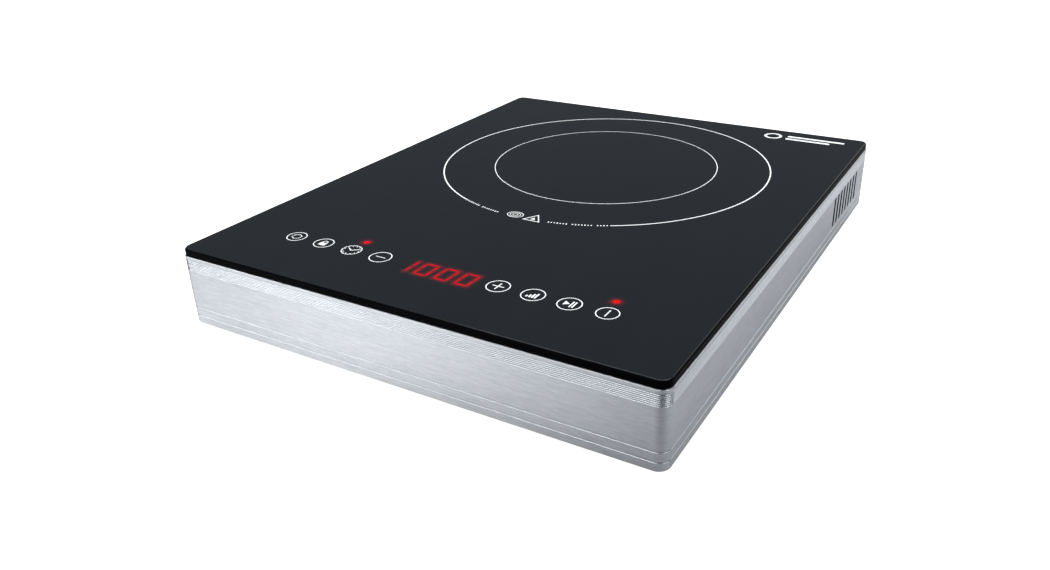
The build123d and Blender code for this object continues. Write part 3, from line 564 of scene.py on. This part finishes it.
def arc(centre, radius, start, end, step=3.0):
    """Points along an arc, with its angles in degrees anticlockwise from +X."""
    count = max(2, round(abs(end - start) / step))
    angles = [math.radians(start + (end - start) * n / count) for n in range(count + 1)]
    return [(centre[0] + radius * math.cos(a), centre[1] + radius * math.sin(a)) for a in angles]


def circle(centre, radius, step=6.0):
    return arc(centre, radius, 0.0, 360.0, step)[:-1]


def moved(points, centre):
    """Points in millimetres about the centre, in metres."""
    return [(x * MM + centre[0], y * MM + centre[1]) for x, y in points]


OUTER_RING = 108.45 * MM
OUTER_LINE = 0.85 * MM
INNER_RING = 74.3 * MM
INNER_LINE = 0.5 * MM
FRONT = 270.0             # the direction of the front edge, in degrees
MARKS_LEFT = 25.0         # the plain ring stops this far to the left of the front
MARKS_RIGHT = 28.0        # and this far to the right
MARK_PITCH = 0.95         # degrees from one small mark to the next
MARK_REACH = 0.2          # degrees from a mark's middle to its end
MARK_HEIGHT = 1.2 * MM
TALL_MARK = 1.6 * MM      # every third mark
# The two rows of small marks: where each starts and ends from the front, and the marks left out between
# groups
MARK_ROWS = ((-MARKS_LEFT, -8.8, (8,)), (8.6, MARKS_RIGHT, (7, 15)))
SIGN_LINE_OFFSET = 105.8 * MM     # from the middle of the zone forward to the two signs
COIL_SIGN_X = -5.9 * MM
TRIANGLE_X = 6.9 * MM
COIL_SIGN_RINGS = ((5.0, 0.5), (3.3, 0.4), (1.6, 0.4))    # radius and line, in millimetres
COIL_SIGN_SQUASH = 0.78


def print_zone():
    """The two rings of the cooking zone, the small marks that break the outer one, and two plain signs."""
    rings = Print("zone_rings", "print_white")
    outer = arc(zone_centre, OUTER_RING, FRONT + MARKS_RIGHT, FRONT + 360 - MARKS_LEFT, 1.2)
    rings.stroke(outer, OUTER_LINE)
    rings.stroke(circle(zone_centre, INNER_RING, 1.5), INNER_LINE, closed=True)
    rings.finish()
    marks = Print("zone_marks", "print_white")
    for start, end, gaps in MARK_ROWS:
        for n in range(round((end - start) / MARK_PITCH)):
            if n in gaps:
                continue
            angle = FRONT + start + MARK_PITCH * (n + 0.5)
            height = MARK_HEIGHT if n % 3 else TALL_MARK
            marks.stroke(arc(zone_centre, OUTER_RING, angle - MARK_REACH, angle + MARK_REACH, 0.4), height)
    marks.finish()
    signs = Print("zone_signs", "print_white")
    sign_line = zone_centre[1] - SIGN_LINE_OFFSET
    coil_sign = (zone_centre[0] + COIL_SIGN_X, sign_line)
    for radius, line in COIL_SIGN_RINGS:
        oval = [(x, COIL_SIGN_SQUASH * y) for x, y in circle((0.0, 0.0), radius, 10.0)]
        signs.stroke(moved(oval, coil_sign), line * MM, closed=True)
    triangle = (zone_centre[0] + TRIANGLE_X, sign_line)
    signs.stroke(moved(((-5.2, -3.9), (5.2, -3.9), (0.0, 4.9)), triangle), 0.7 * MM, closed=True)
    signs.plate(moved(((-1.6, -2.1), (1.6, -2.1), (0.0, 0.8)), triangle))
    signs.finish()


SMALL_KEY = 5.6 * MM
LARGE_KEY = 6.05 * MM
KEY_LINE = 0.54 * MM
KEY_PITCH = 20.0 * MM
SIGN_LINE = 0.66          # width of the plus and power signs, in millimetres
HOUR_MARK = (4.3, 5.9)    # the two ends of an hour mark from the middle of the clock, in millimetres
SHACKLE = 1.4             # radius of the lock's shackle, in millimetres


def key_centres():
    """The eight keys stand over the touch springs: four left of the display and four right of it."""
    line = (springs_low.y + springs_high.y) / 2
    reach = (springs_high.y - springs_low.y) / 2
    first, last = springs_low.x + reach, springs_high.x - reach
    left = [(first + KEY_PITCH * n, line) for n in range(4)]
    right = [(last - KEY_PITCH * n, line) for n in (3, 2, 1, 0)]
    return left + right


def upright(left, width, bottom, top):
    """The corners of an upright bar."""
    return (left, bottom), (left + width, bottom), (left + width, top), (left, top)


def print_keys():
    """The ring of each key and the plain sign inside it."""
    keys = Print("key_symbols", "print_white")
    menu, lock, clock, minus, plus, bars, play, power = key_centres()
    for centre in (menu, lock, clock, power):
        keys.stroke(circle(centre, SMALL_KEY), KEY_LINE, closed=True)
    for centre in (minus, plus, bars, play):
        keys.stroke(circle(centre, LARGE_KEY), KEY_LINE, closed=True)
    # Menu: a six-sided ring
    keys.stroke(arc(menu, 2.9 * MM, 30.0, 390.0, 60.0)[:-1], 0.45 * MM, closed=True)
    # Lock: a body with a shackle
    keys.plate(moved(upright(-2.2, 4.4, -2.7, 0.5), lock))
    bow = arc((0.0, 1.3), SHACKLE, 0.0, 180.0, 20.0)
    keys.stroke(moved([(SHACKLE, 0.5), *bow, (-SHACKLE, 0.5)], lock), 0.6 * MM)
    # Clock: hour marks and two hands
    for hour in range(12):
        angle = math.radians(30 * hour)
        ends = [(reach * math.cos(angle), reach * math.sin(angle)) for reach in HOUR_MARK]
        keys.stroke(moved(ends, clock), 0.5 * MM)
    keys.stroke(moved(((-3.0, 1.5), (0.0, -0.5), (3.4, 2.2)), clock), 0.65 * MM)
    # Minus and plus
    keys.stroke(moved(((-3.2, 0.0), (3.2, 0.0)), minus), 0.5 * MM)
    keys.stroke(moved(((-3.4, 0.0), (3.4, 0.0)), plus), SIGN_LINE * MM)
    for low, high in ((SIGN_LINE / 2, 3.4), (-3.4, -SIGN_LINE / 2)):
        keys.stroke(moved(((0.0, low), (0.0, high)), plus), SIGN_LINE * MM)
    # Bars that rise to the right
    for n in range(4):
        keys.plate(moved(upright(-2.9 + 1.55 * n, 1.0, -2.9, -1.4 + 1.2 * n), bars))
    # Play and pause
    keys.plate(moved(((-2.9, -2.0), (0.1, 0.0), (-2.9, 2.0)), play))
    for left in (0.7, 2.2):
        keys.plate(moved(upright(left, 0.8, -2.9, 2.9), play))
    # Power: one upright line
    keys.stroke(moved(((0.0, -3.2), (0.0, 3.2)), power), SIGN_LINE * MM)
    keys.finish()


CORNER_MARK = (42.0 * MM, 16.3 * MM)    # from the right and back edges of the glass to its middle
MARK_RING = 5.4 * MM
MARK_RING_LINE = 1.8 * MM
MARK_RING_X = -21.5 * MM                # from the middle of the mark
MARK_BAR = 2.9                          # a bar's height, and how far up or down it stands, in millimetres
MARK_BAR_START = -11.5                  # from the middle of the mark, in millimetres
MARK_BAR_ENDS = (28.5, 19.5)


def print_corner_mark():
    """A plain mark in the back right corner: a ring and two bars."""
    mark = Print("corner_mark", "print_white")
    middle = (glass_high.x - CORNER_MARK[0], glass_high.y - CORNER_MARK[1])
    mark.stroke(circle((middle[0] + MARK_RING_X, middle[1]), MARK_RING), MARK_RING_LINE, closed=True)
    for end, rise in zip(MARK_BAR_ENDS, (MARK_BAR, -MARK_BAR)):
        mark.stroke(moved([(MARK_BAR_START, rise), (end, rise)], middle), MARK_BAR * MM)
    mark.finish()


SEGMENT_WIDTH = 1.3       # millimetres
SEGMENT_GAP = 0.28        # millimetres
LIT_DIGITS = ("bc", "abcdef", "abcdef", "abcdef")
LIT_RISE = 0.02 * MM
LIGHT_RADIUS = 1.8 * MM


def segment_outlines():
    """The seven segments of one digit, upright, in millimetres about the digit's centre."""
    across, up = DIGIT_HALF
    half = SEGMENT_WIDTH / 2
    reach = across - SEGMENT_GAP
    rise = up / 2 - SEGMENT_GAP

    def level_bar(y):
        return [
            (-reach, y), (-reach + half, y - half), (reach - half, y - half),
            (reach, y), (reach - half, y + half), (-reach + half, y + half),
        ]

    def upright_bar(x, y):
        return [
            (x, y - rise), (x + half, y - rise + half), (x + half, y + rise - half),
            (x, y + rise), (x - half, y + rise - half), (x - half, y - rise + half),
        ]

    return {
        "a": level_bar(up), "g": level_bar(0.0), "d": level_bar(-up),
        "b": upright_bar(across, up / 2), "c": upright_bar(across, -up / 2),
        "e": upright_bar(-across, -up / 2), "f": upright_bar(-across, up / 2),
    }


def light_display():
    """Four lit digits and the two indicator lights, as they show through the glass."""
    digits = Print("display_digits", "lit_red", LIT_RISE)
    outlines = segment_outlines()
    for n, lit_segments in enumerate(LIT_DIGITS):
        middle = (display_centre[0] + (n - 1.5) * DIGIT_PITCH, display_centre[1])
        for letter in lit_segments:
            leaning = [(x + y * SEGMENT_LEAN, y) for x, y in outlines[letter]]
            digits.plate(moved(leaning, middle))
    digits.finish()
    spots = Print("indicator_spots", "lit_red", LIT_RISE, "lit_lamp")
    for spot in light_spots:
        spots.plate(circle(spot, LIGHT_RADIUS, 12.0))
    spots.finish()


GLASS_CORNER = 5.5 * MM
SHADE_RING_OFFSET = 0.03 * MM      # how far the shade ring stands out from the glass, and as far in
UPPER_CHAMFER = 0.8 * MM
LOWER_CHAMFER = 0.3 * MM
SHADED_SHARE = 0.7         # of the upper chamfer; the rest is polished


def shade_glass_edge():
    """Painted shade on the edge of the glass: a thin, near-black closed ring that barely reflects, round its
    upright faces and most of the chamfer above them."""
    low, high = glass_low.z + LOWER_CHAMFER, glass_high.z - UPPER_CHAMFER
    climb = SHADED_SHARE * UPPER_CHAMFER
    profile = (
        (-SHADE_RING_OFFSET, low),
        (SHADE_RING_OFFSET, low + 2 * SHADE_RING_OFFSET),
        (SHADE_RING_OFFSET, high),
        (SHADE_RING_OFFSET - climb, high + climb),
        (-2 * SHADE_RING_OFFSET - climb, high + climb - SHADE_RING_OFFSET),
        (-2 * SHADE_RING_OFFSET, high - SHADE_RING_OFFSET),
    )
    mesh = bmesh.new()
    loops = []
    for out, z in profile:
        outline = []
        for quarter, (side_x, side_y) in enumerate(((1, 1), (-1, 1), (-1, -1), (1, -1))):
            middle = (side_x * (glass_high.x - GLASS_CORNER), side_y * (glass_high.y - GLASS_CORNER))
            outline += arc(middle, GLASS_CORNER + out, 90.0 * quarter, 90.0 * (quarter + 1), 6.0)
        loops.append([mesh.verts.new((x, y, z)) for x, y in outline])
    for first, second in zip(loops, loops[1:] + loops[:1]):
        for n in range(len(first)):
            m = (n + 1) % len(first)
            mesh.faces.new((first[n], first[m], second[m], second[n]))
    bmesh.ops.recalc_face_normals(mesh, faces=mesh.faces)
    # Painted shade: this near-black ring covers the glass edge so it looks dark
    piece = make_object("glass_edge_shade", mesh, FINISHES["edge_shade_finish"])
    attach(piece, "housing")


shade_glass_edge()
print_zone()
print_keys()
print_corner_mark()
light_display()

# ---------------------------------------------------------------- Floor, lights and world


FLOOR_REACH = 9.0         # metres from the middle to each side
# Painted dark spots and painted pools of light on the floor, for the metal to mirror: x, y and width in
# metres, and strength
PAINTED_DARK_SPOTS = ((0.175, -0.235, 0.06, 0.6), (-0.215, -0.155, 0.035, 0.8))
LIGHT_POOLS = ((-0.30, -0.32, 0.30, 0.43), (-0.06, -0.24, 0.12, 0.47))


def spots_of(paint, x, y, rows):
    """The summed strength of soft round spots on the floor."""
    total = 0.0
    for spot_x, spot_y, width, strength in rows:
        off = [paint.math("SUBTRACT", x, spot_x), paint.math("SUBTRACT", y, spot_y)]
        total = paint.math("ADD", falloff(paint, off, width, strength), total)
    return total


def make_floor():
    """A plain pale floor with a barely visible mottle, painted dark spots and painted pools of light for the
    metal to mirror, lifted to white where it is seen directly.
    """
    paint = Paint("floor")
    x, y = paint.split()[:2]
    cloudy = paint.noise(3.0, 2.0)
    shade = paint.blend(cloudy, (0.345, 0.35, 0.36), (0.36, 0.365, 0.375))
    # Painted shade and painted light on the floor, for the metal to mirror
    dark = spots_of(paint, x, y, PAINTED_DARK_SPOTS)
    pool = spots_of(paint, x, y, LIGHT_POOLS)
    pool = paint.math("MULTIPLY", pool, paint.math("SUBTRACT", 1.0, dark))
    paint.set(Base_Color=paint.blend(dark, shade, (0.05, 0.05, 0.055)))
    paint.set(Roughness=0.9, Specular_IOR_Level=0.0)
    seen = paint.nodes.new("ShaderNodeLightPath").outputs["Is Camera Ray"]
    glow = paint.math("MAXIMUM", paint.math("MULTIPLY", seen, 1.1), pool)
    paint.set(Emission_Color=(1.0, 0.985, 0.965, 1.0), Emission_Strength=glow)
    mesh = bmesh.new()
    bmesh.ops.create_grid(mesh, x_segments=8, y_segments=8, size=FLOOR_REACH)
    floor = make_object("floor", mesh, paint.material)


# Name, place and target in metres, size in metres, and power in watts
LIGHTS = (
    ("overhead", (0.1, 0.6, 1.9), (0.1, 0.6, 0.0), (2.6, 1.6), 68.0),
    ("front_strip", (-1.2, -0.85, 1.9), (-1.2, -0.85, 0.0), (2.8, 0.6), 20.0),
    ("back_softbox", (1.3, 2.6, 1.05), (0.145, 0.0, 0.03), (1.7, 1.5), 7.5),
    ("left_softbox", (-1.15, -1.1, 0.42), (0.0, -0.15, 0.03), (1.0, 0.8), 4.0),
)


def area_light(name, place, target, size, power):
    """A rectangular light that faces its target and isn't seen itself."""
    data = bpy.data.lights.new(name, "AREA")
    data.shape = "RECTANGLE"
    data.size, data.size_y = size
    data.energy = power
    lamp = bpy.data.objects.new(name, data)
    lamp.visible_camera = False
    bpy.context.scene.collection.objects.link(lamp)
    place, target = Vector(place), Vector(target)
    facing = (target - place).to_track_quat("-Z", "Y").to_matrix()
    lamp.matrix_world = Matrix.Translation(place) @ facing.to_4x4()


def make_world(colour, strength):
    """A dim surround for the object to mirror, and white where the camera sees it directly."""
    world = bpy.data.worlds.new("world")
    world.use_nodes = True
    nodes, links = world.node_tree.nodes, world.node_tree.links
    dim = nodes["Background"]
    dim.inputs["Color"].default_value = (*colour, 1.0)
    dim.inputs["Strength"].default_value = strength
    white = nodes.new("ShaderNodeBackground")
    white.inputs["Color"].default_value = (1.0, 1.0, 1.0, 1.0)
    either = nodes.new("ShaderNodeMixShader")
    seen = nodes.new("ShaderNodeLightPath").outputs["Is Camera Ray"]
    for source, socket in zip((seen, dim.outputs[0], white.outputs[0]), either.inputs):
        links.new(source, socket)
    links.new(either.outputs[0], nodes["World Output"].inputs["Surface"])
    bpy.context.scene.world = world


make_floor()
for light in LIGHTS:
    area_light(*light)
make_world((0.86, 0.93, 1.0), 0.1)

view = bpy.context.scene.view_settings
view.view_transform = "Standard"
view.look = "None"
